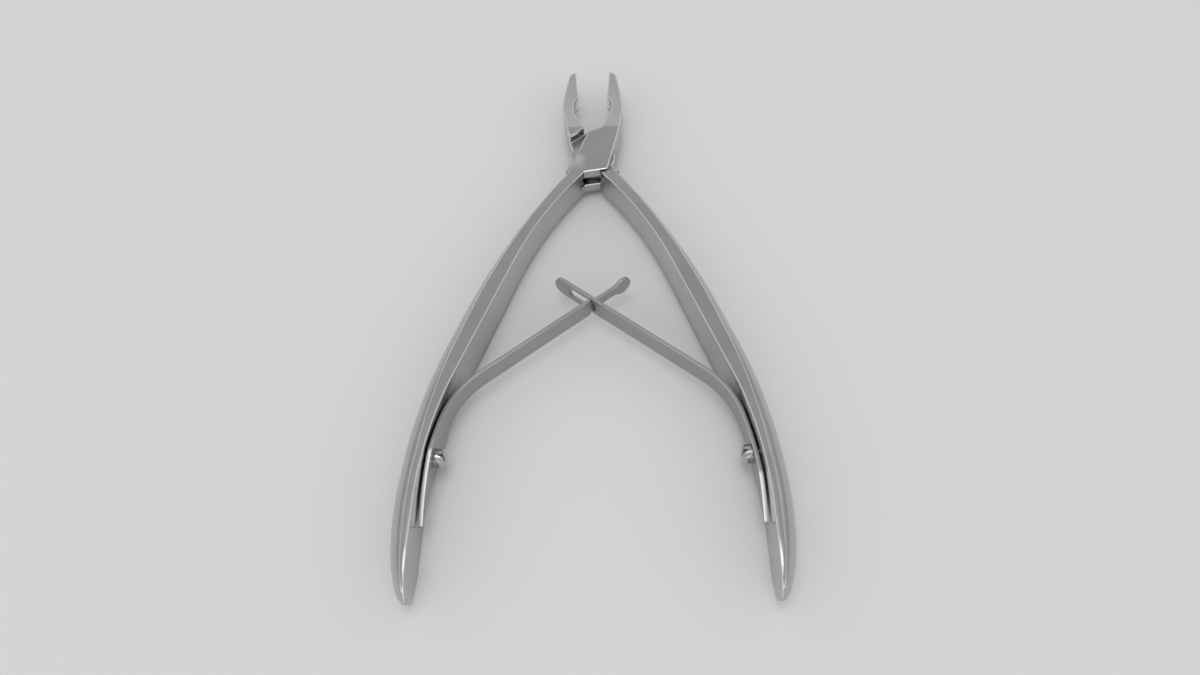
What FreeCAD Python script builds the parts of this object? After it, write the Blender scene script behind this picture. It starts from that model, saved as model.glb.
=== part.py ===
import FreeCAD, Part
import math
import os
import Sketcher

# Small double-spring bone rongeur, lying flat, held open by its springs.
# +Y points to the jaws, +X to the right jaw, +Z up. Millimetres and degrees.
# Every piece is drawn about the pivot, at mid depth, in the open position. The placements then put the
# origin at the bottom centre of the whole instrument.

V = FreeCAD.Vector
UP = V(0, 0, 1)

SIZES = {
    # Box lock
    "joint_depth": 7.0,
    "tongue_depth": 2.4,
    "mortise_gap": 0.06,
    "tongue_reach": 5.6,
    "tongue_neck_turn": 15.0,
    "tongue_hip_turn": 25.0,
    "tongue_heel_turn": 33.0,
    "mortise_room": 0.5,
    "mortise_heel_out": 3.0,
    "jaw_shoulder": 7.7,
    "jaw_shoulder_lean": 41.0,
    "handle_shoulder": 7.9,
    "handle_shoulder_lean": 17.0,
    "cheek_tip_out": 2.3,
    "cheek_tip_up": 6.2,
    "cheek_notch_out": 4.8,
    "cheek_notch_down": 1.4,
    "cheek_heel_out": 3.6,
    "cheek_heel_down": 6.5,
    "crotch_out": 2.0,
    "crotch_down": 7.5,
    "throat_out": 2.2,
    "throat_up": 8.3,
    "hip_out": 5.6,
    "hip_up": 2.4,
    # Pivot pin
    "pin_diameter": 3.2,
    "pin_seat": 0.015,
    "pin_running": 0.04,
    # Jaws
    "jaw_reach": 32.8,
    "jaw_gap": 4.62,
    "jaw_tip_out": 1.9,
    "jaw_tip_down": 2.6,
    "jaw_tip_radius": 2.6,
    "jaw_bulge": 7.85,
    "jaw_bulge_up": 16.9,
    "jaw_back_radius": 82.0,
    "jaw_root_radius": 90.0,
    "rim_rear_up": 22.0,
    "rim_rear_gap": 3.92,
    "rim_step_up": 19.9,
    "rim_step_gap": 5.0,
    "throat_radius": 21.0,
    "jaw_taper_start": 8.8,
    "jaw_tip_depth": 3.0,
    "jaw_taper_radius": 200.0,
    "cup_radius": 1.3,
    "cup_tip_wall": 1.2,
    # Handles
    "handle_reach": 111.8,
    "straight_end": 17.3,
    "grip_radius": 85.0,
    "shank_lean": 19.5,
    "root_radius": 100.0,
    "root_lean": 37.6,
    "root_out": 2.64,
    "root_down": 8.42,
    "root_overlap_turn": 0.5,
    "root_thickness": 4.3,
    "shoulder_ease": 1.0,
    "shank_thickness": 5.8,
    "grip_width": 10.8,
    "grip_thickness": 4.5,
    "grip_flat": 0.8,
    "back_radius": 112.0,
    "side_radius": 2600.0,
    "end_length": 10.8,
    "end_width": 2.8,
    "end_flat": 1.2,
    "end_round_up": 4.3,
    "end_radius": 5.8,
    "flute_pitch": 3.8,
    "flute_radius": 1.8,
    "flute_depth": 0.25,
    # Leaf springs
    "strip_thickness": 0.8,
    "strip_stand_off": 0.35,
    "strip_width": 4.9,
    "foot_width": 7.4,
    "foot_tip_width": 0.5,
    "foot_end_down": 96.9,
    "foot_narrowing": 9.0,
    "foot_pit_radius": 0.5,
    "lift_off_turn": 13.3,
    "hinge_turn": 32.0,
    "hinge_gap": 0.3,
    "bend_radius": 20.0,
    "arm_lean": 38.5,
    "arm_overhang": 10.6,
    "neck_width": 2.5,
    "key_tip_width": 0.7,
    "key_radius": 2.2,
    "shoulder_back": 0.75,
    "shoulder_round": 1.0,
    "slot_width": 3.0,
    "slot_back": 1.2,
    "slot_ahead": 6.4,
    "slot_tip_width": 0.6,
    # Spring screws
    "screw_turn": 8.1,
    "screw_diameter": 2.0,
    "screw_fit": 0.03,
    "screw_length": 4.4,
    "screw_hole_spare": 0.3,
    "strip_hole_clearance": 0.15,
    "head_diameter": 3.9,
    "head_height": 1.75,
    "head_bevel": 0.4,
    "head_seat": 0.05,
    "driver_slot_width": 0.6,
    "driver_slot_depth": 0.9,
}

# What follows from the sizes: the length of the straight shank and how far out the grip's inner face lies,
# so that the handle starts at the box and ends at its reach.
DERIVED = {
    "grip_drop": "handle_reach - straight_end",
    "shank_length": "(grip_drop - root_down - grip_radius * sin(shank_lean)"
    " - root_radius * (sin(root_lean) - sin(shank_lean))) / cos(shank_lean)",
    "grip_face": "root_out + root_radius * (cos(shank_lean) - cos(root_lean))"
    " + shank_length * sin(shank_lean) + grip_radius * (1 - cos(shank_lean))",
}

# How far a cutting outline runs out past the piece it trims.
RUN_OUT = "joint_depth"
# The angle through which one half turns until the jaws' tips meet.
CLOSING = "(2 * atan(jaw_gap / jaw_reach))"

doc = FreeCAD.newDocument("bone_rongeur")
sheet = doc.addObject("Spreadsheet::Sheet", "Sizes")
for row, (size_name, size_value) in enumerate((SIZES | DERIVED).items(), start=1):
    sheet.set(f"A{row}", size_name)
    sheet.set(f"B{row}", str(size_value) if size_name in SIZES else f"={size_value}")
    sheet.setAlias(f"B{row}", size_name)
doc.recompute()


def of(text):
    """Writes each size named in an expression as a reference to its cell."""
    words = []
    word = ""
    for letter in text + " ":
        if letter.isalnum() or letter == "_":
            word += letter
            continue
        words.append("Sizes." + word if word in SIZES or word in DERIVED else word)
        words.append(letter)
        word = ""
    return "".join(words).strip()


def number(text):
    """Works out an expression of the sheet's sizes."""
    return float(sheet.evalExpression(of(str(text))))


def bind(thing, prop, text):
    """Ties a property to an expression of the sheet's sizes."""
    thing.setExpression(prop, of(str(text)))


def new_body(label):
    """Starts a piece whose own origin is the pivot at mid depth."""
    body = doc.addObject("PartDesign::Body", label)
    body.Label = label
    bind(body, ".Placement.Base.y", "(handle_reach - jaw_reach) / 2")
    bind(body, ".Placement.Base.z", "grip_width / 2")
    return body


def attach(feature, body, plane, base=("0", "0", "0"), turn="0"):
    """Puts a feature on one of its body's planes, shifted, and turned about the plane's second axis."""
    support = next(item for item in body.Origin.OriginFeatures if item.Role == plane)
    feature.AttachmentSupport = (support, [""])
    feature.MapMode = "FlatFace"
    axis = UP if plane == "XY_Plane" else V(0, 1, 0)
    shift = V(number(base[0]), number(base[1]), number(base[2]))
    feature.AttachmentOffset = FreeCAD.Placement(shift, FreeCAD.Rotation(axis, number(turn)))
    for letter, value in zip("xyz", base):
        bind(feature, f".AttachmentOffset.Base.{letter}", value)
    if turn != "0":
        bind(feature, ".AttachmentOffset.Rotation.Angle", turn)


def new_sketch(body, name, plane, base=("0", "0", "0"), turn="0"):
    sketch = body.newObject("Sketcher::SketchObject", name)
    attach(sketch, body, plane, base, turn)
    return sketch


def pin_point(sketch, item, end, x, y):
    """Fixes one end of a line or arc, or a centre, by its distances from the sketch's origin."""
    for kind, value in (("DistanceX", x), ("DistanceY", y)):
        index = sketch.addConstraint(Sketcher.Constraint(kind, -1, 1, item, end, number(value)))
        bind(sketch, f"Constraints[{index}]", value)


def outline(sketch, corners):
    """Draws a closed outline through corners (x, y) or (x, y, radius).

    A corner with a radius starts an arc to the next corner. A positive radius turns left, a negative one right.
    """
    first = sketch.GeometryCount
    count = len(corners)
    for index, corner in enumerate(corners):
        start = V(number(corner[0]), number(corner[1]), 0)
        after = corners[(index + 1) % count]
        stop = V(number(after[0]), number(after[1]), 0)
        if len(corner) == 2:
            sketch.addGeometry(Part.LineSegment(start, stop), False)
            continue
        radius = number(corner[2])
        chord = stop - start
        left = V(-chord.y, chord.x, 0).normalize()
        rise = math.sqrt(radius ** 2 - (chord.Length / 2) ** 2)
        centre = (start + stop) * 0.5 + left * math.copysign(rise, radius)
        low, high = (start, stop) if radius > 0 else (stop, start)
        angles = [math.atan2(point.y - centre.y, point.x - centre.x) for point in (low, high)]
        sketch.addGeometry(Part.ArcOfCircle(Part.Circle(centre, UP, abs(radius)), *angles), False)
    for index, corner in enumerate(corners):
        after = (index + 1) % count
        leaves_by = 1 if len(corner) == 2 or number(corner[2]) > 0 else 2
        arrives_by = 3 - leaves_by
        next_corner = corners[after]
        next_leaves_by = 1 if len(next_corner) == 2 or number(next_corner[2]) > 0 else 2
        sketch.addConstraint(
            Sketcher.Constraint("Coincident", first + index, arrives_by, first + after, next_leaves_by)
        )
        pin_point(sketch, first + index, leaves_by, corner[0], corner[1])
        if len(corner) == 3:
            item = sketch.addConstraint(Sketcher.Constraint("Radius", first + index, abs(number(corner[2]))))
            bind(sketch, f"Constraints[{item}]", f"abs({corner[2]})")


def circle(sketch, x, y, radius):
    index = sketch.addGeometry(Part.Circle(V(number(x), number(y), 0), UP, number(radius)), False)
    pin_point(sketch, index, 3, x, y)
    item = sketch.addConstraint(Sketcher.Constraint("Radius", index, number(radius)))
    bind(sketch, f"Constraints[{item}]", radius)


def pad(body, name, sketch, length):
    feature = body.newObject("PartDesign::Pad", name)
    feature.Profile = sketch
    feature.SideType = "Symmetric"
    bind(feature, "Length", length)
    return feature


def pocket(body, name, sketch, length=None, side="Symmetric", reverse=False):
    """Cuts a sketch through the piece, or to a length, and makes sure that it took something away."""
    doc.recompute()
    before = body.Shape.Volume
    feature = body.newObject("PartDesign::Pocket", name)
    feature.Profile = sketch
    feature.SideType = side
    feature.Reversed = reverse
    if length is None:
        feature.Type = "ThroughAll"
    else:
        bind(feature, "Length", length)
    doc.recompute()
    if not body.Shape.Volume < before - 1e-6:
        raise RuntimeError(f"{name} cuts nothing from {body.Label}")
    return feature


def flipped(side, text):
    """Mirrors a sideways distance for a piece on the left."""
    return f"({text})" if side > 0 else f"-({text})"


def mirrored(corners, upside_down=False):
    """Mirrors an outline left to right, or upside down.

    It is walked backwards, so every arc still turns the same way.
    """
    turned = []
    for index in range(len(corners)):
        x, y = corners[-index][:2]
        across = (x, f"-({y})") if upside_down else (f"-({x})", y)
        turned.append(across + corners[-index - 1][2:])
    return turned


# Path of a handle's inner face, for the right-hand handle: a straight end, the grip's arc, the straight
# shank and the root's arc. Its lean is measured from the line of the instrument.
GRIP_X = "(grip_face - grip_radius)"
SHANK_LOW_X = f"({GRIP_X} + grip_radius * cos(shank_lean))"
SHANK_LOW_Y = "(grip_radius * sin(shank_lean) - grip_drop)"
SHANK_TOP_X = f"({SHANK_LOW_X} - shank_length * sin(shank_lean))"
SHANK_TOP_Y = f"({SHANK_LOW_Y} + shank_length * cos(shank_lean))"
ROOT_X = f"({SHANK_TOP_X} - root_radius * cos(shank_lean))"
ROOT_Y = f"({SHANK_TOP_Y} - root_radius * sin(shank_lean))"


def on_grip(lean, inward="0"):
    """A point of the grip's arc, or of one that lies inside it by some distance."""
    radius = f"(grip_radius - ({inward}))"
    return f"{GRIP_X} + {radius} * cos({lean})", f"{radius} * sin({lean}) - grip_drop"


def on_root(lean, outward="0"):
    radius = f"(root_radius + ({outward}))"
    return f"{ROOT_X} + {radius} * cos({lean})", f"{ROOT_Y} + {radius} * sin({lean})"


# Path of a handle's back, outside the inner face: a straight end, an arc that meets the shank's straight
# back, and from the middle of the shank an arc that thins the handle towards the box.
BACK_X = "(grip_face + grip_thickness)"
BACK_CENTRE_X = f"({BACK_X} - back_radius)"
BACK_CENTRE_Y = (
    f"(({SHANK_LOW_X} * cos(shank_lean) + {SHANK_LOW_Y} * sin(shank_lean) + shank_thickness - back_radius"
    f" - {BACK_CENTRE_X} * cos(shank_lean)) / sin(shank_lean))"
)
THIN_X = f"(({SHANK_TOP_X} + {SHANK_LOW_X}) / 2 + shank_thickness * cos(shank_lean))"
THIN_Y = f"(({SHANK_TOP_Y} + {SHANK_LOW_Y}) / 2 + shank_thickness * sin(shank_lean))"
ROOT_DROP = (
    "(root_radius + shank_thickness - (root_radius + root_thickness) * cos(root_lean - shank_lean))"
)
ROOT_RUN = "(shank_length / 2 + (root_radius + root_thickness) * sin(root_lean - shank_lean))"
THIN_RADIUS = f"((pow({ROOT_RUN}; 2) + pow({ROOT_DROP}; 2)) / (2 * {ROOT_DROP}))"
FLUTES_ON_ARC = 6
FLUTES_BELOW = 2


def on_back(lean, outward="0"):
    """A point of the back's long arc, or of one that lies outside it by some distance."""
    radius = f"(back_radius + ({outward}))"
    return f"{BACK_CENTRE_X} + {radius} * cos({lean})", f"{BACK_CENTRE_Y} + {radius} * sin({lean})"


def open_path(sketch, corners, side):
    """Draws a right-hand outline, or its mirror image, and takes out the line that closes it."""
    outline(sketch, corners if side > 0 else mirrored(corners))
    sketch.delGeometry(len(corners) - 1 if side > 0 else 0)


def handle(body, side):
    """Sweeps a rounded back along the handle's outer line, then cuts the flat inner face.

    Seen from the side the handle widens from the box to the grip. Its end is rounded in plan and from the
    side, and flutes are cut across the back of the grip.
    """
    spine = new_sketch(body, "back_path", "XY_Plane")
    path = [
        (BACK_X, "-handle_reach"),
        (BACK_X, BACK_CENTRE_Y, "back_radius"),
        on_back("shank_lean"),
        (THIN_X, THIN_Y, THIN_RADIUS),
        on_root("root_lean", "root_thickness"),
    ]
    open_path(spine, path, side)
    section = new_sketch(body, "back_section", "XZ_Plane", (flipped(side, BACK_X), "0", "handle_reach"))
    half = "grip_width / 2"
    bulge = "(grip_thickness - grip_flat)"
    inside = "-(shank_thickness + 0.5 * grip_flat)"
    back = [
        (inside, f"-({half})"),
        (f"-{bulge}", f"-({half})", f"(pow({half}; 2) + pow({bulge}; 2)) / (2 * {bulge})"),
        (f"-{bulge}", half),
        (inside, half),
    ]
    outline(section, back if side > 0 else mirrored(back))
    sweep = body.newObject("PartDesign::AdditivePipe", "handle")
    sweep.Profile = section
    sweep.Spine = (spine, [])
    face = new_sketch(body, "inner_face_plan", "XY_Plane")
    past_end = f"-handle_reach - {RUN_OUT}"
    inner = [
        ("grip_face", past_end),
        ("grip_face", "-grip_drop", "grip_radius"),
        (SHANK_LOW_X, SHANK_LOW_Y),
        (SHANK_TOP_X, SHANK_TOP_Y, "root_radius"),
        on_root("root_lean"),
        ("0", "0"),
        ("0", past_end),
    ]
    outline(face, inner if side > 0 else mirrored(inner))
    pocket(body, "inner_face", face)
    flare = new_sketch(body, "flare_side_view", "YZ_Plane")
    above = [
        (on_root("root_lean")[1], "joint_depth / 2", "side_radius"),
        ("-grip_drop", "grip_width / 2"),
        ("-grip_drop", "grip_width"),
        ("0", "grip_width"),
        ("0", "joint_depth / 2"),
    ]
    outline(flare, above)
    outline(flare, mirrored(above, upside_down=True))
    pocket(body, "flare", flare)
    plan = new_sketch(body, "handle_end_plan", "XY_Plane")
    beyond = [
        ("grip_face + end_flat", "-handle_reach", "end_radius"),
        (BACK_X, "end_round_up - handle_reach"),
        (f"{BACK_X} + grip_thickness", "end_round_up - handle_reach"),
        (f"{BACK_X} + grip_thickness", past_end),
        ("grip_face + end_flat", past_end),
    ]
    outline(plan, beyond if side > 0 else mirrored(beyond))
    pocket(body, "handle_end_back", plan)
    side_view = new_sketch(body, "handle_end_side_view", "YZ_Plane")
    fall = "((grip_width - end_width) / 2)"
    beside = [
        (past_end, "end_width / 2"),
        ("-handle_reach", "end_width / 2", f"-(pow(end_length; 2) + pow({fall}; 2)) / (2 * {fall})"),
        ("end_length - handle_reach", "grip_width / 2"),
        ("end_length - handle_reach", "grip_width"),
        (past_end, "grip_width"),
    ]
    outline(side_view, beside)
    outline(side_view, mirrored(beside, upside_down=True))
    pocket(body, "handle_end_sides", side_view)
    flutes = new_sketch(body, "flute_plan", "XY_Plane")
    off_back = "(flute_radius - flute_depth)"
    for step in range(-FLUTES_BELOW, FLUTES_ON_ARC):
        if step < 0:
            x, y = f"{BACK_X} + {off_back}", f"{step} * flute_pitch + {BACK_CENTRE_Y}"
        else:
            x, y = on_back(f"({step} * flute_pitch / back_radius * 180 / pi)", off_back)
        circle(flutes, flipped(side, x), y, "flute_radius")
    pocket(body, "flutes", flutes)


# The bite's straight edge: how it leans outward, and how long it is from the step behind it to the tip.
RIM_SLOPE = "((jaw_gap - rim_rear_gap) / (jaw_reach - rim_rear_up))"
RIM_LENGTH = f"((jaw_reach - rim_step_up) / cos(atan({RIM_SLOPE})))"


def forging(label, side, heel, cheek):
    """Makes what both halves share: a jaw, the full-depth joint and the opposite handle.

    The jaw of the right-hand half (side 1) joins the left handle through the box. The middle's two edges
    are given as corners: the heel edge from the crotch to the jaw's root, and the cheek edge from the
    throat to the handle's root.
    """
    body = new_body(label)
    handle(body, -side)
    plan = new_sketch(body, "plan", "XY_Plane")
    inner_root = on_root("root_lean - root_overlap_turn")
    outer_root = on_root("root_lean - root_overlap_turn", "root_thickness")
    corners = [
        ("-crotch_out", "-crotch_down"),
        *heel,
        ("jaw_bulge", "jaw_bulge_up", "jaw_back_radius"),
        ("jaw_gap + jaw_tip_out", "jaw_reach - jaw_tip_down", "jaw_tip_radius"),
        ("jaw_gap", "jaw_reach"),
        ("rim_rear_gap", "rim_rear_up"),
        ("rim_step_gap", "rim_step_up", "-throat_radius"),
        ("throat_out", "throat_up"),
        *cheek,
        (f"-({outer_root[0]})", outer_root[1]),
        (f"-({inner_root[0]})", inner_root[1]),
    ]
    if side < 0:
        corners = mirrored(corners)
    outline(plan, corners)
    joint = pad(body, "joint_and_jaw", plan, "joint_depth")
    doc.recompute()
    # The joint's side edges above the handle's root are eased, to run into the handle's round back.
    ends = [(cheek[-1][0], cheek[-1][1]), (f"-({outer_root[0]})", outer_root[1])]
    places = [V(number(x) * side, number(y), 0) for x, y in ends]
    names = []
    for index, edge in enumerate(joint.Shape.Edges, start=1):
        feet = [V(vertex.X, vertex.Y, 0) for vertex in edge.Vertexes]
        level = abs(edge.Vertexes[0].Z - edge.Vertexes[-1].Z) < 1e-4
        if level and all(min(place.distanceToPoint(foot) for foot in feet) < 1e-3 for place in places):
            names.append(f"Edge{index}")
    eased = body.newObject("PartDesign::Chamfer", "shoulder_edges")
    eased.Base = (joint, names)
    bind(eased, "Size", "shoulder_ease")
    doc.recompute()
    taper = new_sketch(body, "jaw_side_view", "YZ_Plane")
    above = [
        ("jaw_taper_start", "joint_depth / 2", "jaw_taper_radius"),
        (f"jaw_reach + {RUN_OUT}", "jaw_tip_depth / 2"),
        (f"jaw_reach + {RUN_OUT}", "joint_depth"),
        ("jaw_taper_start", "joint_depth"),
    ]
    outline(taper, above)
    outline(taper, mirrored(above, upside_down=True))
    pocket(body, "jaw_taper", taper)
    # The cup: a scoop along the bite's edge with a tapered nose, open at its rear end.
    cup = new_sketch(body, "cup_profile", "XY_Plane",
                     (flipped(side, f"rim_rear_gap - (rim_rear_up - rim_step_up) * {RIM_SLOPE}"),
                      "rim_step_up", "0"),
                     f"90 deg + atan({RIM_SLOPE})" if side < 0 else f"90 deg - atan({RIM_SLOPE})")
    nose = f"({RIM_LENGTH} - cup_tip_wall)"
    outline(cup, [
        ("0", "0"),
        (nose, "0"),
        (f"{nose} - cup_radius", "cup_radius"),
        ("0", "cup_radius"),
    ])
    scoop = body.newObject("PartDesign::Groove", "cup")
    scoop.Profile = cup
    scoop.ReferenceAxis = (cup, ["H_Axis"])
    scoop.Angle = 360
    screw_hole = body.newObject("PartDesign::SubtractiveCylinder", "screw_hole")
    x, y = on_grip("screw_turn", "strip_stand_off")
    attach(screw_hole, body, "YZ_Plane", (y, "0", flipped(-side, x)),
           "screw_turn" if side < 0 else "180 - screw_turn")
    bind(screw_hole, "Radius", "screw_diameter / 2 + screw_fit")
    bind(screw_hole, "Height", "screw_length - strip_thickness - head_seat + screw_hole_spare")
    # A small blind pit in the inner face marks where the spring's foot ends.
    pit = body.newObject("PartDesign::SubtractiveCylinder", "foot_pit")
    attach(pit, body, "YZ_Plane", ("-foot_end_down - 2 * foot_pit_radius", "0", flipped(-side, "grip_face")),
           "0" if side < 0 else "180")
    bind(pit, "Radius", "foot_pit_radius")
    bind(pit, "Height", "foot_pit_radius")
    return body


box_half = forging(
    "box_half",
    1,
    heel=[("cheek_heel_out", "-cheek_heel_down"), ("hip_out", "hip_up", "jaw_root_radius")],
    cheek=[("-cheek_tip_out", "cheek_tip_up"), ("-cheek_notch_out", "-cheek_notch_down")],
)

# The mortise: room for the tongue's round middle, open on the two sides where the tongue comes out. At the
# throat its wall stands where the tongue's corner is when the jaws are closed. At the heel it is cut wider.
mortise = new_sketch(box_half, "mortise_plan", "XY_Plane")
MORTISE = "(tongue_reach + mortise_room)"
HEEL_WALL = "(-mortise_heel_out)"
THROAT_WALL = f"(throat_up * sin({CLOSING}) - throat_out * cos({CLOSING}) + mortise_room)"
outline(mortise, [
    (HEEL_WALL, f"-sqrt(pow({MORTISE}; 2) - pow({HEEL_WALL}; 2))"),
    (HEEL_WALL, "-2 * crotch_down"),
    ("2 * hip_out", "-2 * crotch_down"),
    ("2 * hip_out", "0"),
    (MORTISE, "0", MORTISE),
    (THROAT_WALL, f"sqrt(pow({MORTISE}; 2) - pow({THROAT_WALL}; 2))"),
    (THROAT_WALL, "2 * throat_up"),
    ("-2 * hip_out", "2 * throat_up"),
    ("-2 * hip_out", "0"),
    (f"-{MORTISE}", "0", MORTISE),
])
pocket(box_half, "mortise", mortise, "tongue_depth + 2 * mortise_gap")
bore = new_sketch(box_half, "pin_bore", "XY_Plane")
circle(bore, "0", "0", "pin_diameter / 2 + pin_seat")
pocket(box_half, "pivot_bore", bore)

# The tongue: between the two shoulders, the other half is thinned from above and below.
NECK_OUT = "tongue_reach * sin(tongue_neck_turn)"
NECK_UP = "tongue_reach * cos(tongue_neck_turn)"
tongue_half = forging(
    "tongue_half",
    -1,
    heel=[
        (f"-{NECK_OUT}", f"-{NECK_UP}", "tongue_reach"),
        ("tongue_reach * cos(tongue_hip_turn)", "tongue_reach * sin(tongue_hip_turn)", "jaw_root_radius"),
    ],
    cheek=[
        (NECK_OUT, NECK_UP, "tongue_reach"),
        ("-tongue_reach * cos(tongue_heel_turn)", "-tongue_reach * sin(tongue_heel_turn)"),
    ],
)
STEP_RUN = "1.6 * tongue_reach"
JAW_FOOT_X = "-jaw_shoulder * sin(jaw_shoulder_lean)"
JAW_FOOT_Y = "jaw_shoulder * cos(jaw_shoulder_lean)"
HEEL_FOOT_X = "handle_shoulder * sin(handle_shoulder_lean)"
HEEL_FOOT_Y = "-handle_shoulder * cos(handle_shoulder_lean)"
for name, level, reverse in (("upper", "tongue_depth / 2", True), ("lower", "-tongue_depth / 2", False)):
    step = new_sketch(tongue_half, f"{name}_step_plan", "XY_Plane", ("0", "0", level))
    outline(step, [
        (f"{JAW_FOOT_X} - {STEP_RUN} * cos(jaw_shoulder_lean)",
         f"{JAW_FOOT_Y} - {STEP_RUN} * sin(jaw_shoulder_lean)"),
        (f"{HEEL_FOOT_X} - {STEP_RUN} * cos(handle_shoulder_lean)",
         f"{HEEL_FOOT_Y} - {STEP_RUN} * sin(handle_shoulder_lean)"),
        (f"{HEEL_FOOT_X} + {STEP_RUN} * cos(handle_shoulder_lean)",
         f"{HEEL_FOOT_Y} + {STEP_RUN} * sin(handle_shoulder_lean)"),
        (f"{JAW_FOOT_X} + {STEP_RUN} * cos(jaw_shoulder_lean)",
         f"{JAW_FOOT_Y} + {STEP_RUN} * sin(jaw_shoulder_lean)"),
    ])
    pocket(tongue_half, f"{name}_step", step, "joint_depth", "One side", reverse)
bore = new_sketch(tongue_half, "pin_bore", "XY_Plane")
circle(bore, "0", "0", "pin_diameter / 2 + pin_running")
pocket(tongue_half, "pivot_bore", bore)

# The pin is ground flush with both cheeks.
pivot_pin = new_body("pivot_pin")
pin_plan = new_sketch(pivot_pin, "pin_plan", "XY_Plane")
circle(pin_plan, "0", "0", "pin_diameter / 2")
pad(pivot_pin, "pin", pin_plan, "joint_depth")

# Middle line of a leaf spring, for the right-hand one: it follows the grip at a small distance, lifts off
# in a bend and runs straight to the crossing on the instrument's centre line and past it.
STRIP_INWARD = "(strip_stand_off + strip_thickness / 2)"
BEND_END = "(90 - arm_lean)"


def on_bend(lean, shift="0"):
    """A point of the bend's middle line, or of one shifted outward by some distance."""
    start = on_grip("lift_off_turn", STRIP_INWARD)
    centre_x = f"({start[0]} - bend_radius * cos(lift_off_turn))"
    centre_y = f"({start[1]} - bend_radius * sin(lift_off_turn))"
    radius = f"(bend_radius + ({shift}))"
    return f"{centre_x} + {radius} * cos({lean})", f"{centre_y} + {radius} * sin({lean})"


def on_arm(ahead, shift="0"):
    """A point of the arm's middle line, counted from the crossing, or of one shifted outward."""
    bend_x, bend_y = on_bend(BEND_END)
    cross_y = f"({bend_y} + ({bend_x}) * tan(arm_lean))"
    x = f"-({ahead}) * cos(arm_lean) + ({shift}) * sin(arm_lean)"
    y = f"{cross_y} + ({ahead}) * sin(arm_lean) + ({shift}) * cos(arm_lean)"
    return x, y


def spring_foot(label, side):
    body = new_body(label)
    plan = new_sketch(body, "plan", "XY_Plane")
    half = "strip_thickness / 2"
    low = "-asin((foot_end_down - grip_drop) / grip_radius)"
    hinge = "(hinge_turn - hinge_gap / 2 / bend_radius * 180 / pi)"
    outer = f"(grip_radius - {STRIP_INWARD} + {half})"
    inner = f"(grip_radius - {STRIP_INWARD} - {half})"
    corners = [
        on_grip(low, "strip_stand_off") + (outer,),
        on_grip("lift_off_turn", "strip_stand_off") + (f"(bend_radius + {half})",),
        on_bend(hinge, half),
        on_bend(hinge, f"-{half}") + (f"-(bend_radius - {half})",),
        on_grip("lift_off_turn", "strip_stand_off + strip_thickness") + (f"-{inner}",),
        on_grip(low, "strip_stand_off + strip_thickness"),
    ]
    outline(plan, mirrored(corners) if side < 0 else corners)
    pad(body, "strip", plan, "foot_width")
    # Seen from the side the foot is widest at the screw, narrows to the strip above and to a point below.
    trim = new_sketch(body, "side_view", "YZ_Plane")
    screw_y = on_grip("screw_turn")[1]
    lift_y = on_grip("lift_off_turn")[1]
    above = [
        (f"-foot_end_down - {RUN_OUT}", "foot_tip_width / 2"),
        ("-foot_end_down", "foot_tip_width / 2"),
        (screw_y, "foot_width / 2"),
        (f"{lift_y} + foot_narrowing", "strip_width / 2"),
        ("0", "strip_width / 2"),
        ("0", "foot_width"),
        (f"-foot_end_down - {RUN_OUT}", "foot_width"),
    ]
    outline(trim, above)
    outline(trim, mirrored(above, upside_down=True))
    pocket(body, "side_trim", trim)
    hole = body.newObject("PartDesign::SubtractiveCylinder", "screw_hole")
    x, y = on_grip("screw_turn", "strip_stand_off + 2 * strip_thickness")
    attach(hole, body, "YZ_Plane", (y, "0", flipped(side, x)),
           "screw_turn" if side > 0 else "180 - screw_turn")
    bind(hole, "Radius", "screw_diameter / 2 + strip_hole_clearance")
    bind(hole, "Height", "3 * strip_thickness")
    return body


def spring_leaf(label, side):
    """The part of a strip that swings: the rest of the bend and the straight arm."""
    body = new_body(label)
    plan = new_sketch(body, "plan", "XY_Plane")
    half = "strip_thickness / 2"
    hinge = "(hinge_turn + hinge_gap / 2 / bend_radius * 180 / pi)"
    corners = [
        on_bend(hinge, half) + (f"(bend_radius + {half})",),
        on_bend(BEND_END, half),
        on_arm("arm_overhang", half),
        on_arm("arm_overhang", f"-{half}"),
        on_bend(BEND_END, f"-{half}") + (f"-(bend_radius - {half})",),
        on_bend(hinge, f"-{half}"),
    ]
    outline(plan, mirrored(corners) if side < 0 else corners)
    pad(body, "strip", plan, "strip_width")
    return body


def on_arm_face(body, name, side):
    """A sketch in the plane of the straight arm, with the crossing as its origin and its x towards the tip."""
    x, y = on_arm("0")
    turn = "-arm_lean" if side > 0 else "arm_lean"
    return new_sketch(body, name, "XZ_Plane", (x, "0", f"-({y})"), turn)


left_foot = spring_foot("left_spring_foot", -1)
right_foot = spring_foot("right_spring_foot", 1)

# The left leaf ends in a narrow neck and a rounded key, which turns sideways to enter the slot.
left_leaf = spring_leaf("left_spring_leaf", -1)
key = on_arm_face(left_leaf, "key_view", -1)
KEY_MIDDLE = "(arm_overhang - sqrt(pow(key_radius; 2) - pow(key_tip_width / 2; 2)))"
beside_key = [
    ("-shoulder_back", "neck_width / 2"),
    (f"{KEY_MIDDLE} - sqrt(pow(key_radius; 2) - pow(neck_width / 2; 2))", "neck_width / 2", "-key_radius"),
    ("arm_overhang", "key_tip_width / 2"),
    (f"arm_overhang + {RUN_OUT}", "key_tip_width / 2"),
    (f"arm_overhang + {RUN_OUT}", "strip_width"),
    ("-shoulder_back - shoulder_round", "strip_width"),
    ("-shoulder_back - shoulder_round", "strip_width / 2", "-shoulder_round"),
    ("-shoulder_back", "strip_width / 2 - shoulder_round"),
]
outline(key, beside_key)
outline(key, mirrored(beside_key, upside_down=True))
pocket(left_leaf, "neck_and_key", key)

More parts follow.
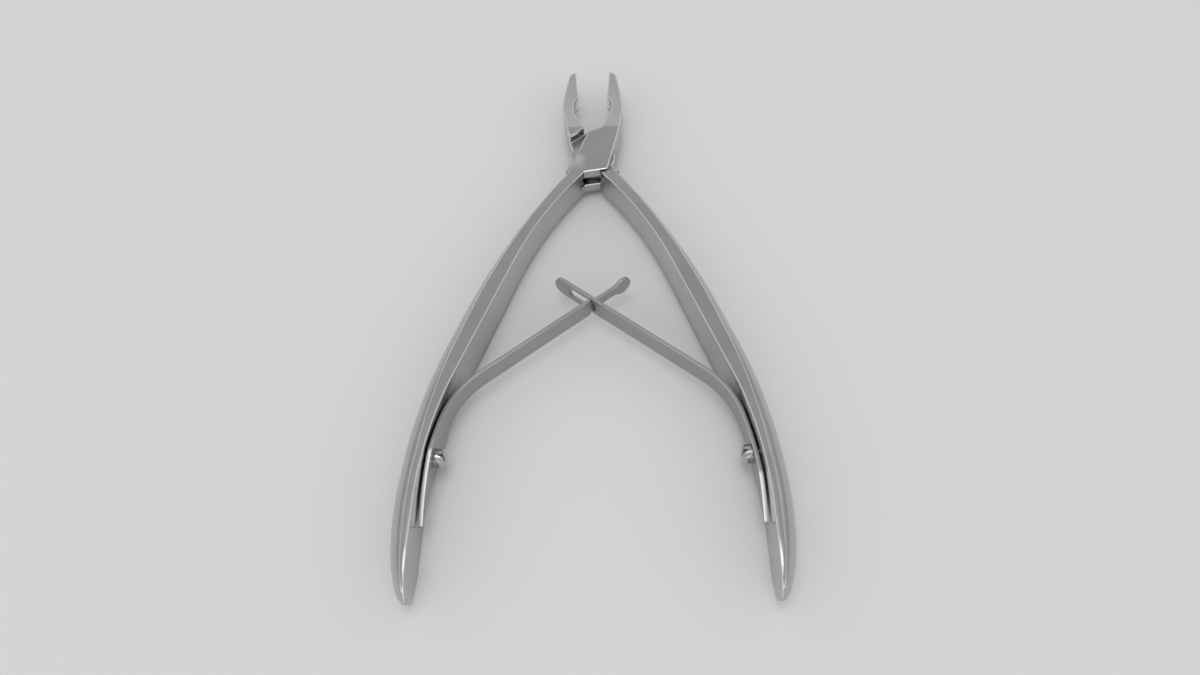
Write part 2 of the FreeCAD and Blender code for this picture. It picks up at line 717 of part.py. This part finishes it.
right_leaf = spring_leaf("right_spring_leaf", 1)
slot = on_arm_face(right_leaf, "slot_view", 1)
outline(slot, [
    ("slot_back", "-slot_width / 2"),
    ("slot_back", "slot_width / 2"),
    ("-slot_ahead", "slot_width / 2"),
    ("-slot_ahead", "-slot_width / 2"),
])
TIP_MIDDLE = "(sqrt(pow(strip_width / 2; 2) - pow(slot_tip_width / 2; 2)) - arm_overhang)"
beside_tip = [
    (TIP_MIDDLE, "strip_width / 2"),
    (TIP_MIDDLE, "strip_width"),
    (f"-arm_overhang - {RUN_OUT}", "strip_width"),
    (f"-arm_overhang - {RUN_OUT}", "slot_tip_width / 2"),
    ("-arm_overhang", "slot_tip_width / 2", "-strip_width / 2"),
]
outline(slot, beside_tip)
outline(slot, mirrored(beside_tip, upside_down=True))
pocket(right_leaf, "slot", slot)


def spring_screw(label, side):
    """A slotted screw with a tall bevelled head, turned about its own x axis and seated on the strip."""
    body = doc.addObject("PartDesign::Body", label)
    body.Label = label
    profile = new_sketch(body, "profile", "XY_Plane")
    outline(profile, [
        ("-screw_length", "0"),
        ("head_height", "0"),
        ("head_height", "head_diameter / 2 - head_bevel"),
        ("head_height - head_bevel", "head_diameter / 2"),
        ("0", "head_diameter / 2"),
        ("0", "screw_diameter / 2"),
        ("-screw_length", "screw_diameter / 2"),
    ])
    turned = body.newObject("PartDesign::Revolution", "turned")
    turned.Profile = profile
    turned.ReferenceAxis = (profile, ["H_Axis"])
    turned.Angle = 360
    kerf = new_sketch(body, "driver_slot_view", "XY_Plane")
    outline(kerf, [
        ("head_height - driver_slot_depth", "-driver_slot_width / 2"),
        ("2 * head_height", "-driver_slot_width / 2"),
        ("2 * head_height", "driver_slot_width / 2"),
        ("head_height - driver_slot_depth", "driver_slot_width / 2"),
    ])
    pocket(body, "driver_slot", kerf)
    x, y = on_grip("screw_turn", "strip_stand_off + strip_thickness + head_seat")
    body.Placement = FreeCAD.Placement(V(0, 0, 0), FreeCAD.Rotation(UP, 1))
    bind(body, ".Placement.Base.x", flipped(side, x))
    bind(body, ".Placement.Base.y", f"{y} + (handle_reach - jaw_reach) / 2")
    bind(body, ".Placement.Base.z", "grip_width / 2")
    bind(body, ".Placement.Rotation.Angle", "180 + screw_turn" if side > 0 else "-screw_turn")
    return body


left_screw = spring_screw("left_spring_screw", -1)
right_screw = spring_screw("right_spring_screw", 1)

doc.recompute()
pieces = [
    box_half,
    tongue_half,
    pivot_pin,
    left_foot,
    left_leaf,
    right_foot,
    right_leaf,
    left_screw,
    right_screw,
]
for thing in doc.Objects:
    if "Invalid" in thing.State or "Error" in thing.State:
        raise RuntimeError(f"{thing.Name} ({thing.Label}) failed: {thing.State}")
os.makedirs("parts", exist_ok=True)
for piece in pieces:
    shape = piece.Shape
    if shape.isNull() or not shape.isValid() or len(shape.Solids) != 1:
        raise RuntimeError(f"{piece.Label} is not one valid solid")
    shape.exportStep(f"parts/{piece.Label}.step")
    print(piece.Label, round(shape.Volume, 2), shape.BoundBox)
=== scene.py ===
import math
import bmesh
import bpy
import numpy as np
from mathutils import Matrix, Vector


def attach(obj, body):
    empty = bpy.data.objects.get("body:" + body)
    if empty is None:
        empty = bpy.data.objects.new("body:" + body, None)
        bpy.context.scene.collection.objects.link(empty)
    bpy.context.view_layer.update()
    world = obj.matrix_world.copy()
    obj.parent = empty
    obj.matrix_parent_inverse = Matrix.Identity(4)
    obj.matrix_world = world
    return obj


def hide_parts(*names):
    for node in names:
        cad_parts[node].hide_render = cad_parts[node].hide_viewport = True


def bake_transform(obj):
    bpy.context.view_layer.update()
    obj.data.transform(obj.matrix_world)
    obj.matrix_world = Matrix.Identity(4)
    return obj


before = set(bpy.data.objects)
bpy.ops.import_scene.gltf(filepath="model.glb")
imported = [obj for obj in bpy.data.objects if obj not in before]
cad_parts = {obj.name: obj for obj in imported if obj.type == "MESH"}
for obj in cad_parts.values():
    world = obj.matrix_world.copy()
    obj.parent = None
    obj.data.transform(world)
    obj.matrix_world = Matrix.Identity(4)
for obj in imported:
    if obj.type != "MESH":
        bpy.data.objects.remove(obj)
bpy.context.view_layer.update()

# The view of the open instrument from the handle side and above, as a hand-held wide lens sees it.
VIEW_LEAN = math.radians(34.0)
VIEW_ROLL = math.radians(1.36)
VIEW_TURN = math.radians(-0.28)
VIEW_DISTANCE = 0.1737
VIEW_SIDEWAYS = 0.00156
VIEW_MIDDLE = Vector((0.0, -0.0150, 0.0054))
tilt = (
    Matrix.Rotation(VIEW_TURN, 3, "Z")
    @ Matrix.Rotation(VIEW_ROLL, 3, "Y")
    @ Matrix.Rotation(VIEW_LEAN, 3, "X")
)
camera_data = bpy.data.cameras.new("view")
camera_data.sensor_width = 36.0
camera_data.lens = 24.0
camera_data.clip_start = 0.005
camera_data.clip_end = 20.0
camera = bpy.data.objects.new("view", camera_data)
bpy.context.scene.collection.objects.link(camera)
camera.matrix_world = Matrix.Translation(
    VIEW_MIDDLE + tilt @ Vector((VIEW_SIDEWAYS, 0.0, VIEW_DISTANCE))
) @ tilt.to_4x4()
bpy.context.scene.camera = camera


class Wire:
    """A shader socket that takes part in sums, so that a pattern can be written as a formula."""

    def __init__(self, nodes, socket):
        self.nodes = nodes
        self.socket = socket

    def with_(self, operation, *others):
        return self.nodes.add("ShaderNodeMath", {"operation": operation}, self, *others)

    def __add__(self, other):
        return self.with_("ADD", other)

    def __mul__(self, other):
        return self.with_("MULTIPLY", other)

    def __sub__(self, other):
        return self.with_("SUBTRACT", other)

    def __rsub__(self, other):
        return self.nodes.add("ShaderNodeMath", {"operation": "SUBTRACT"}, other, self)

    __radd__ = __add__
    __rmul__ = __mul__


class Nodes:
    """A node tree under construction. add() puts in any node: its type, settings, then its sockets."""

    def __init__(self, tree):
        self.tree = tree

    def feed(self, socket, value):
        if isinstance(value, Wire):
            self.tree.links.new(value.socket, socket)
        else:
            socket.default_value = value

    def add(self, kind, settings=None, *inputs, out=0, **named):
        made = self.tree.nodes.new(kind)
        for key, value in (settings or {}).items():
            if key == "stops":
                ramp = made.color_ramp
                while len(ramp.elements) < len(value):
                    ramp.elements.new(0.5)
                for element, (place, shade) in zip(ramp.elements, value):
                    element.position = place
                    element.color = (*shade, 1.0)
            else:
                setattr(made, key, value)
        for index, value in enumerate(inputs):
            self.feed(made.inputs[index], value)
        for key, value in named.items():
            self.feed(made.inputs[key.replace("_", " ")], value)
        return Wire(self, made.outputs[out])


class Paint(Nodes):
    """A material whose surface is one physically based shader."""

    def __init__(self, name):
        self.material = bpy.data.materials.new(name)
        self.material.use_nodes = True
        super().__init__(self.material.node_tree)
        self.surface = self.tree.nodes["Principled BSDF"]

    def set(self, **named):
        for key, value in named.items():
            self.feed(self.surface.inputs[key.replace("_", " ")], value)


# The table: a smooth pale grey sheet that carries on out of sight.
TABLE_SPAN = 6.0
bpy.ops.mesh.primitive_plane_add(size=TABLE_SPAN, location=(0.0, 0.0, 0.0))
table = bpy.context.object
table.name = "table"
table_paint = Paint("pale_table")
table_paint.set(Base_Color=(0.80, 0.80, 0.81, 1.0), Roughness=0.9, Specular_IOR_Level=0.1)
table.data.materials.append(table_paint.material)

# The room that the steel mirrors, by height above the horizon: dark low down, then a bright band of
# windows, then a duller ceiling. It is brighter on the handles' side, where a dark stand leans in. The
# stand's edge is given by cosines of the angle from its heading.
STAND_HEADING = (0.0, -0.56, 0.83)
STAND_EDGE = (0.95, 0.985)
STAND_SHADE = 0.05
HANDLE_SIDE = (-0.15, -0.60)
HANDLE_SIDE_LIGHT = 1.6
world = bpy.data.worlds.new("room")
bpy.context.scene.world = world
world.use_nodes = True
room = Nodes(world.node_tree)
heading = room.add("ShaderNodeTexCoord", out=3)
height = room.add("ShaderNodeSeparateXYZ", {}, heading, out=2)
bands = room.add("ShaderNodeValToRGB", {"stops": [
    (0.00, (0.30, 0.30, 0.30)),
    (0.06, (0.30, 0.30, 0.30)),
    (0.17, (0.48, 0.48, 0.48)),
    (0.30, (0.78, 0.78, 0.79)),
    (0.50, (0.76, 0.76, 0.77)),
    (0.66, (0.47, 0.465, 0.47)),
    (0.88, (0.44, 0.435, 0.44)),
    (1.00, (0.80, 0.80, 0.80)),
]}, height)
stand = room.add("ShaderNodeVectorMath", {"operation": "DOT_PRODUCT"}, heading, STAND_HEADING, out=1)
stand = room.add("ShaderNodeMapRange", {}, stand, *STAND_EDGE, 1.0, STAND_SHADE)
front = room.add("ShaderNodeSeparateXYZ", {}, heading, out=1)
front = room.add("ShaderNodeMapRange", {}, front, *HANDLE_SIDE, 1.0, HANDLE_SIDE_LIGHT)
bands = room.add("ShaderNodeVectorMath", {"operation": "SCALE"}, bands, Scale=stand * front)
room.feed(world.node_tree.nodes["Background"].inputs["Color"], bands)
world.node_tree.nodes["Background"].inputs["Strength"].default_value = 1.0

# A soft round panel overhead gives the shadows close to the steel.
PANEL_PLACE = Vector((-0.06, -0.08, 1.20))
PANEL_SIZE = 0.75
PANEL_POWER = 2.9
panel_data = bpy.data.lights.new("overhead_panel", "AREA")
panel_data.shape = "DISK"
panel_data.size = PANEL_SIZE
panel_data.energy = PANEL_POWER
panel = bpy.data.objects.new("overhead_panel", panel_data)
panel.location = PANEL_PLACE
panel.rotation_euler = PANEL_PLACE.to_track_quat("Z", "Y").to_euler()
bpy.context.scene.collection.objects.link(panel)

# The two halves, each a single forging with a jaw, its part of the box lock and a handle, and the pin that
# is riveted through the lock and ground flush. They are stainless steel with a satin finish. Their colour
# has a painted highlight along the edges, painted shade in the crevices and a painted dark line just below
# the edges.
PIVOT_Y = 0.0395
PIN_AROUND = 0.0024
SATIN_EDGE = 0.00050
MOTTLES_PER_METRE = 1800.0
CLOUDS_PER_METRE = 120.0
CREVICE_REACH = 0.005
FINE_BUMP = 0.0001
MOTTLE_STRENGTH = 0.03
UPRIGHT = (0.5, 0.3)
satin = Paint("satin_steel")
place = satin.add("ShaderNodeTexCoord", out=3)
mottle = satin.add(
    "ShaderNodeTexNoise", {}, Vector=place, Scale=MOTTLES_PER_METRE, Detail=3.0, Roughness=0.6,
)
cloud = satin.add("ShaderNodeTexNoise", {}, Vector=place, Scale=CLOUDS_PER_METRE, Detail=2.0)

# The edges' softened normal, left out round the pin, where nothing shows of the pin's edge. The dot
# product of it and the true normal is 1 on a flat face and falls towards an edge.
flat = satin.add("ShaderNodeVectorMath", {"operation": "MULTIPLY"}, place, (1.0, 1.0, 0.0))
off_pin = satin.add("ShaderNodeVectorMath", {"operation": "DISTANCE"}, flat, (0.0, PIVOT_Y, 0.0), out=1)
off_pin = off_pin.with_("GREATER_THAN", PIN_AROUND)
facing = satin.add("ShaderNodeNewGeometry", out=1)
rounded = satin.add("ShaderNodeBevel", {"samples": 8}, Radius=SATIN_EDGE)
turned = satin.add("ShaderNodeVectorMath", {"operation": "SUBTRACT"}, rounded, facing)
shading = satin.add("ShaderNodeVectorMath", {"operation": "MULTIPLY_ADD"}, turned, off_pin, facing)
edge_paint_mask = satin.add("ShaderNodeVectorMath", {"operation": "DOT_PRODUCT"}, shading, facing, out=1)
# Painted highlight: near an edge the base colour is far lighter than on the flats.
painted_highlight_and_shade = satin.add("ShaderNodeValToRGB", {"stops": [
    (0.955, (0.99, 0.98, 0.97)),
    (0.992, (0.52, 0.51, 0.52)),
]}, edge_paint_mask)
# Painted shade: where the ambient occlusion finds the steel closed in, in crevices and between parts, the
# base colour is darkened.
open_sky = satin.add("ShaderNodeAmbientOcclusion", {"samples": 8}, Distance=CREVICE_REACH, out=1)
painted_crevice_shade = satin.add("ShaderNodeValToRGB", {"stops": [
    (0.05, (0.10, 0.10, 0.10)),
    (0.42, (1.00, 1.00, 1.00)),
]}, open_sky)
painted_highlight_and_shade = satin.add("ShaderNodeVectorMath", {"operation": "MULTIPLY"}, painted_highlight_and_shade, painted_crevice_shade)

# Painted shade: a dark line painted on the upright faces, just below an edge's painted highlight.
rise = satin.add("ShaderNodeSeparateXYZ", {}, facing, out=2)
below = satin.add("ShaderNodeMapRange", {}, rise.with_("ABSOLUTE"), *UPRIGHT, 0.0, 1.0)
painted_dark_line = satin.add("ShaderNodeValToRGB", {"stops": [
    (0.962, (0.0, 0.0, 0.0)),
    (0.980, (0.5, 0.5, 0.5)),
    (0.992, (0.5, 0.5, 0.5)),
    (0.999, (0.0, 0.0, 0.0)),
]}, edge_paint_mask)
satin.set(
    Base_Color=satin.add(
        "ShaderNodeVectorMath", {"operation": "SCALE"}, painted_highlight_and_shade,
        Scale=(0.92 + 0.16 * cloud) * (1.0 - below * painted_dark_line),
    ),
    Metallic=1.0,
    Roughness=0.17 + 0.08 * mottle + 0.05 * cloud,
    Normal=satin.add(
        "ShaderNodeBump", {}, Strength=MOTTLE_STRENGTH, Distance=FINE_BUMP, Height=mottle, Normal=shading,
    ),
)


def finish(paint, *names):
    """Gives CAD nodes that stay in sight a finish in place of their plain one."""
    for name in names:
        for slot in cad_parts[name].material_slots:
            slot.material = paint.material


finish(satin, "pivot_pin")

# Each half's handle ends in a long, soft rounding, ground by eye: the back draws in to the inner face and
# both sides draw in to the middle. The half's own section at GRIP_CUT is carried down to the tip.
MIDDLE_Z = 0.0054
GRIP_FACE = 0.0332
GRIP_RADIUS = 0.085
GRIP_Y = PIVOT_Y - 0.0945
GRIP_CUT = -0.0470
GRIP_TIP = -0.0718
BACK_DRAWN_IN = 0.72
BACK_POWER = 3.8
SIDE_ROUNDING = 0.0096
SIDE_LEFT = 0.25
CAP_LENGTH = 0.0014
TIP_INSET = 0.0005
END_RINGS = 56
MERGE_WITHIN = 1e-6


def inner_face_x(y):
    """Sideways distance of a handle's inner face: straight below GRIP_Y, and an arc above it.

    x = face - radius + sqrt(radius^2 - rise^2), where rise is the height above GRIP_Y.
    """
    return GRIP_FACE - GRIP_RADIUS + np.sqrt(GRIP_RADIUS**2 - np.maximum(y - GRIP_Y, 0.0) ** 2)


def handle_end(ring, side):
    """Carries the cut's ring of points down to the tip.

    At a share d of the way it is 1 - BACK_DRAWN_IN d^BACK_POWER as thick as at the cut. Over the last
    SIDE_ROUNDING its height falls to SIDE_LEFT along an ellipse, and an elliptical cap closes the tip.
    """
    share = np.sin(np.linspace(0.0, math.pi / 2, END_RINGS))[:, None]
    y = GRIP_CUT + (GRIP_TIP - GRIP_CUT) * share
    thin = 1.0 - BACK_DRAWN_IN * share**BACK_POWER
    low = np.clip((GRIP_TIP + SIDE_ROUNDING - y) / SIDE_ROUNDING, 0.0, 1.0)
    flatten = SIDE_LEFT + (1.0 - SIDE_LEFT) * np.sqrt(1.0 - low**2)
    last = np.clip((GRIP_TIP + CAP_LENGTH - y) / CAP_LENGTH, 0.0, 1.0)
    cap = np.sqrt(1.0 - last**2)
    thickness = side * ring[None, :, 0] - inner_face_x(GRIP_CUT)
    x = side * (inner_face_x(y) + thickness * thin * cap + TIP_INSET * (1.0 - cap))
    z = MIDDLE_Z + (ring[None, :, 2] - MIDDLE_Z) * flatten * cap
    return np.stack([x, np.broadcast_to(y, x.shape), z], axis=2)


# The jaws' outer edges are eased into a soft brow, which runs out towards the root and the tip.
JAW_ROOT = 0.0440
JAW_TIP = 0.0715
JAW_BROW = 0.0010
BROW_AT_ROOT = 0.004
BROW_AT_TIP = 0.014
BROW_FACING = 0.7
SHARP_FROM = math.radians(20.0)

for name, side in (("box_half", -1), ("tongue_half", 1)):
    work = bmesh.new()
    work.from_mesh(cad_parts[name].data)
    bmesh.ops.remove_doubles(work, verts=work.verts, dist=MERGE_WITHIN)
    cut = bmesh.ops.bisect_plane(
        work, geom=work.verts[:] + work.edges[:] + work.faces[:], dist=MERGE_WITHIN,
        plane_co=(0.0, GRIP_CUT, 0.0), plane_no=(0.0, -1.0, 0.0), clear_outer=True,
    )
    ring = np.array([item.co[:] for item in cut["geom_cut"] if isinstance(item, bmesh.types.BMVert)])
    ring = ring[np.argsort(np.arctan2(ring[:, 2] - MIDDLE_Z, ring[:, 0] - ring[:, 0].mean()))]
    points = handle_end(ring, side)[:-1]
    corner = np.arange(points.shape[0] * points.shape[1]).reshape(points.shape[:2])
    beside = np.roll(corner, -1, axis=1)
    faces = np.stack([corner[:-1], beside[:-1], beside[1:], corner[1:]], axis=2).reshape(-1, 4)
    end_mesh = bpy.data.meshes.new(name + "_end")
    end_mesh.from_pydata(points.reshape(-1, 3).tolist(), [], faces.tolist() + [corner[-1].tolist()])
    work.from_mesh(end_mesh)
    bpy.data.meshes.remove(end_mesh)
    seam = [vert for vert in work.verts if abs(vert.co.y - GRIP_CUT) < MERGE_WITHIN]
    bmesh.ops.remove_doubles(work, verts=seam, dist=MERGE_WITHIN)
    bmesh.ops.recalc_face_normals(work, faces=work.faces)
    brow = work.edges.layers.float.new("bevel_weight_edge")
    for edge in work.edges:
        y = (edge.verts[0].co.y + edge.verts[1].co.y) / 2
        if y > JAW_ROOT and len(edge.link_faces) == 2:
            outwards = max(-side * face.normal.x for face in edge.link_faces)
            upright = max(abs(face.normal.z) for face in edge.link_faces)
            if min(outwards, upright) > BROW_FACING:
                ease = min((y - JAW_ROOT) / BROW_AT_ROOT, (JAW_TIP - y) / BROW_AT_TIP)
                edge[brow] = float(np.clip(ease, 0.0, 1.0))
    half_mesh = bpy.data.meshes.new(name + "_forging")
    work.to_mesh(half_mesh)
    work.free()
    half_mesh.polygons.foreach_set("use_smooth", np.ones(len(half_mesh.polygons), dtype=bool))
    half_mesh.set_sharp_from_angle(angle=SHARP_FROM)
    half_mesh.materials.append(satin.material)
    half = bpy.data.objects.new(name + "_forging", half_mesh)
    bpy.context.scene.collection.objects.link(half)
    eased = half.modifiers.new("jaw_brow", "BEVEL")
    eased.limit_method = "WEIGHT"
    eased.width = JAW_BROW
    eased.segments = 3
    half.modifiers.new("even_normals", "WEIGHTED_NORMAL").keep_sharp = True
    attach(half, "box_side" if side < 0 else "tongue_side")
    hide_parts(name)

# The screws that hold the springs: turned from steel and polished, with a driver slot and a bevelled rim.
# One goes through each spring's foot into the inner face of its handle.
SCREW_EDGE = 0.00015
SPECKS_PER_METRE = 1500.0
polished = Paint("polished_steel")
spot = polished.add("ShaderNodeTexCoord", out=3)
speck = polished.add("ShaderNodeTexNoise", {}, Vector=spot, Scale=SPECKS_PER_METRE, Detail=2.0)
polished.set(
    Base_Color=(0.54, 0.53, 0.52, 1.0),
    Metallic=1.0,
    Roughness=0.05 + 0.08 * speck,
    Normal=polished.add("ShaderNodeBevel", {"samples": 6}, Radius=SCREW_EDGE),
)
finish(polished, "left_spring_screw", "right_spring_screw")

# The two leaf springs: strips of spring steel, warmer in colour and brushed along their length, with a
# foot on the handle's inner face, a bend, and an arm that crosses to the other handle. All of a strip lies
# on one line in plan, given here for the right-hand spring.
BRUSHING = (60.0, 5000.0, 1.0)
BRUSHING_STRENGTH = 0.15
brushed = Paint("spring_steel")
along = brushed.add("ShaderNodeUVMap", {"uv_map": "strip"})
stretch = brushed.add("ShaderNodeMapping", {}, Vector=along, Scale=BRUSHING)
grain = brushed.add("ShaderNodeTexNoise", {}, Vector=stretch, Scale=1.0, Detail=3.0, Roughness=0.6)
# Painted highlight: faces turned upwards, such as the strips' top edges, get a lighter base colour than the
# sides.
upward = brushed.add("ShaderNodeSeparateXYZ", {}, brushed.add("ShaderNodeNewGeometry", out=1), out=2)
brushed.set(
    Base_Color=brushed.add("ShaderNodeValToRGB", {"stops": [
        (0.45, (0.42, 0.405, 0.40)),
        (0.80, (0.47, 0.46, 0.45)),
    ]}, upward),
    Metallic=1.0,
    Roughness=0.28 + 0.16 * grain,
    Normal=brushed.add(
        "ShaderNodeBump", {}, Strength=BRUSHING_STRENGTH, Distance=FINE_BUMP, Height=grain,
    ),
)

STRIP_THICKNESS = 0.0008
STRIP_STAND_OFF = 0.00035
FOOT_BELOW = math.radians(1.65)
LIFT_OFF = math.radians(13.3)
BEND_RADIUS = 0.020
ARM_LEAN = math.radians(38.5)
ARM_OVERHANG = 0.0106
FOOT_RADIUS = GRIP_RADIUS - STRIP_STAND_OFF - STRIP_THICKNESS / 2
BEND_TURN = math.pi / 2 - ARM_LEAN - LIFT_OFF
FOOT_RUN = FOOT_RADIUS * (LIFT_OFF + FOOT_BELOW)
BEND_RUN = BEND_RADIUS * BEND_TURN
BEND_X = GRIP_FACE - GRIP_RADIUS + (FOOT_RADIUS - BEND_RADIUS) * math.cos(LIFT_OFF)
BEND_Y = GRIP_Y + (FOOT_RADIUS - BEND_RADIUS) * math.sin(LIFT_OFF)
ARM_X = BEND_X + BEND_RADIUS * math.cos(LIFT_OFF + BEND_TURN)
ARM_RUN = ARM_X / math.cos(ARM_LEAN)
STRIP_RUN = FOOT_RUN + BEND_RUN + ARM_RUN + ARM_OVERHANG


def strip_line(run):
    """x and y of the strip's middle line at a distance from the foot's point.

    The foot is an arc about the grip's centre, (c + r cos a, r sin a); the bend is an arc of its own; the
    arm is straight and leans by ARM_LEAN.
    """
    foot = -FOOT_BELOW + np.minimum(run, FOOT_RUN) / FOOT_RADIUS
    bend = LIFT_OFF + np.clip(run - FOOT_RUN, 0.0, BEND_RUN) / BEND_RADIUS
    arm = np.maximum(run - FOOT_RUN - BEND_RUN, 0.0)
    on_foot = run < FOOT_RUN
    x = np.where(
        on_foot,
        GRIP_FACE - GRIP_RADIUS + FOOT_RADIUS * np.cos(foot),
        BEND_X + BEND_RADIUS * np.cos(bend) - arm * math.cos(ARM_LEAN),
    )
    y = np.where(
        on_foot,
        GRIP_Y + FOOT_RADIUS * np.sin(foot),
        BEND_Y + BEND_RADIUS * np.sin(bend) + arm * math.sin(ARM_LEAN),
    )
    return x, y


STRIP_ACROSS = 6
STRIP_EDGE = 0.00014
STRIP_CORNERS = math.radians(50.0)
STRIP_WELD = 0.00001


def strip_piece(name, side, runs, inner, outer):
    """A strip as a sheet along strip_line(), thickened and with broken edges.

    At each run the sheet reaches from z = inner to z = outer above the middle and the same below. Where
    inner is 0 the two halves are one sheet, and where it isn't there is a slot.
    """
    x, y = strip_line(runs)
    upper = inner[:, None] + (outer - inner)[:, None] * np.linspace(0.0, 1.0, STRIP_ACROSS + 1)
    across = np.stack([upper, -upper])
    points = np.stack(np.broadcast_arrays(side * x[:, None], y[:, None], MIDDLE_Z + across), axis=3)
    lengthwise = np.stack(np.broadcast_arrays(runs[:, None], across), axis=3)
    corner = np.arange(across.size).reshape(across.shape)
    faces = np.stack(
        [corner[:, :-1, :-1], corner[:, :-1, 1:], corner[:, 1:, 1:], corner[:, 1:, :-1]], axis=3,
    )
    turned_over = 0 if side < 0 else 1
    faces[turned_over] = faces[turned_over, :, :, ::-1].copy()
    mesh = bpy.data.meshes.new(name)
    mesh.from_pydata(points.reshape(-1, 3).tolist(), [], faces.reshape(-1, 4).tolist())
    layer = mesh.uv_layers.new(name="strip")
    layer.data.foreach_set("uv", lengthwise.reshape(-1, 2)[faces.ravel()].astype(np.float32).ravel())
    mesh.polygons.foreach_set("use_smooth", np.ones(len(mesh.polygons), dtype=bool))
    mesh.materials.append(brushed.material)
    piece = bpy.data.objects.new(name, mesh)
    bpy.context.scene.collection.objects.link(piece)
    piece.modifiers.new("weld", "WELD").merge_threshold = STRIP_WELD
    thick = piece.modifiers.new("thickness", "SOLIDIFY")
    thick.thickness = STRIP_THICKNESS
    thick.offset = 0.0
    broken = piece.modifiers.new("edges", "BEVEL")
    broken.width = STRIP_EDGE
    broken.segments = 3
    broken.limit_method = "ANGLE"
    broken.angle_limit = STRIP_CORNERS
    return piece


STRIP_HALF = 0.00245
FOOT_HALF = 0.0037
FOOT_TIP_HALF = 0.00025
SCREW_ABOVE = math.radians(8.1)
SCREW_RUN = FOOT_RADIUS * (FOOT_BELOW + SCREW_ABOVE)
NARROWING = 0.0090
NARROWED_RUN = FOOT_RUN + NARROWING
CROSSING_RUN = STRIP_RUN - ARM_OVERHANG
RUNS_TO_CROSSING = 150


def foot_outline(runs):
    """Half width from the foot's point to the arm: straight to the screw, then easing to the strip's width.

    w = tip + (foot - tip) s / s_screw, then w = strip + (foot - strip)(1 + cos(pi t)) / 2.
    """
    rise = FOOT_TIP_HALF + (FOOT_HALF - FOOT_TIP_HALF) * np.minimum(runs / SCREW_RUN, 1.0)
    part = np.clip((runs - SCREW_RUN) / (NARROWED_RUN - SCREW_RUN), 0.0, 1.0)
    fall = STRIP_HALF + (FOOT_HALF - STRIP_HALF) * (1.0 + np.cos(np.pi * part)) / 2
    return np.where(runs < SCREW_RUN, rise, fall)


def round_half(radius, away):
    """Half width of a disc at a distance from its middle, and 0 beyond it: sqrt(radius^2 - away^2)."""
    return np.sqrt(np.clip(radius**2 - away**2, 0.0, None))


# The left strip ends in a narrow neck with a round key on it, behind two rounded shoulders.
NECK_HALF = 0.00125
NECK_BEFORE_CROSSING = 0.00075
NECK_STEP = 0.00002
NECK_FIRST = 0.001
KEY_RADIUS = 0.0022
KEY_NECK_DEPTH = 0.00181
KEY_FIRST = math.radians(34.6)
KEY_LAST = math.radians(178.0)
SHOULDER_ROUND = 0.0010
SHOULDER_RUN = CROSSING_RUN - NECK_BEFORE_CROSSING
KEY_RUN = STRIP_RUN - KEY_RADIUS
runs = np.concatenate([
    np.linspace(0.0, SHOULDER_RUN - SHOULDER_ROUND, RUNS_TO_CROSSING),
    SHOULDER_RUN - SHOULDER_ROUND * np.cos(np.linspace(0.0, np.pi / 2, 8))[1:],
    [SHOULDER_RUN + NECK_STEP],
    np.linspace(SHOULDER_RUN + NECK_FIRST, KEY_RUN - KEY_NECK_DEPTH, 12),
    KEY_RUN - KEY_RADIUS * np.cos(np.linspace(KEY_FIRST, KEY_LAST, 26)),
])
shoulder = STRIP_HALF - SHOULDER_ROUND + round_half(SHOULDER_ROUND, runs - SHOULDER_RUN + SHOULDER_ROUND)
disc = round_half(KEY_RADIUS, runs - KEY_RUN)
neck = np.where(runs < KEY_RUN, np.maximum(NECK_HALF, disc), disc)
outer = np.where(runs < SHOULDER_RUN - SHOULDER_ROUND, foot_outline(runs), shoulder)
outer = np.where(runs > SHOULDER_RUN, neck, outer)
left_strip = strip_piece("left_strip", -1.0, runs, np.zeros_like(runs), outer)

# The right strip has the long slot that the neck passes through, and a rounded end.
SLOT_HALF = 0.0015
SLOT_ROUND = SLOT_HALF * 0.4
SLOT_BEFORE_CROSSING = 0.0012
SLOT_PAST_CROSSING = 0.0064
SLOT_SIDE_FROM = 0.001
SOLID_BEFORE_SLOT = 0.0002
SLOT_START = CROSSING_RUN - SLOT_BEFORE_CROSSING
SLOT_END = CROSSING_RUN + SLOT_PAST_CROSSING
END_FIRST = -0.35
END_LAST = math.radians(88.0)
slot_turn = np.linspace(0.0, np.pi / 2, 8)
runs = np.concatenate([
    np.linspace(0.0, SLOT_START - SOLID_BEFORE_SLOT, RUNS_TO_CROSSING),
    SLOT_START + SLOT_ROUND * (1.0 - np.cos(slot_turn)),
    np.linspace(SLOT_START + SLOT_SIDE_FROM, SLOT_END - SLOT_SIDE_FROM, 16),
    SLOT_END - SLOT_ROUND * (1.0 - np.cos(slot_turn[::-1])),
    STRIP_RUN - STRIP_HALF + STRIP_HALF * np.sin(np.linspace(END_FIRST, END_LAST, 24)),
])
runs = np.unique(np.round(runs, 7))
into_slot = np.clip(np.minimum(runs - SLOT_START, SLOT_END - runs) / SLOT_ROUND, 0.0, 1.0)
inner = SLOT_HALF * np.sqrt(1.0 - (1.0 - into_slot) ** 2)
end = round_half(STRIP_HALF, np.clip(runs - STRIP_RUN + STRIP_HALF, 0.0, None))
right_strip = strip_piece("right_strip", 1.0, runs, inner, np.minimum(foot_outline(runs), end))

# Each strip's placement is baked into its mesh; its bend over the stretch that lifts off the handle is part
# of its shape.
for piece, side, root, leaf in (
    (left_strip, -1.0, "box_side", "left_leaf"),
    (right_strip, 1.0, "tongue_side", "right_leaf"),
):
    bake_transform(piece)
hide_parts("left_spring_foot", "left_spring_leaf")
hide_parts("right_spring_foot", "right_spring_leaf")

bpy.context.scene.view_settings.view_transform = "Standard"
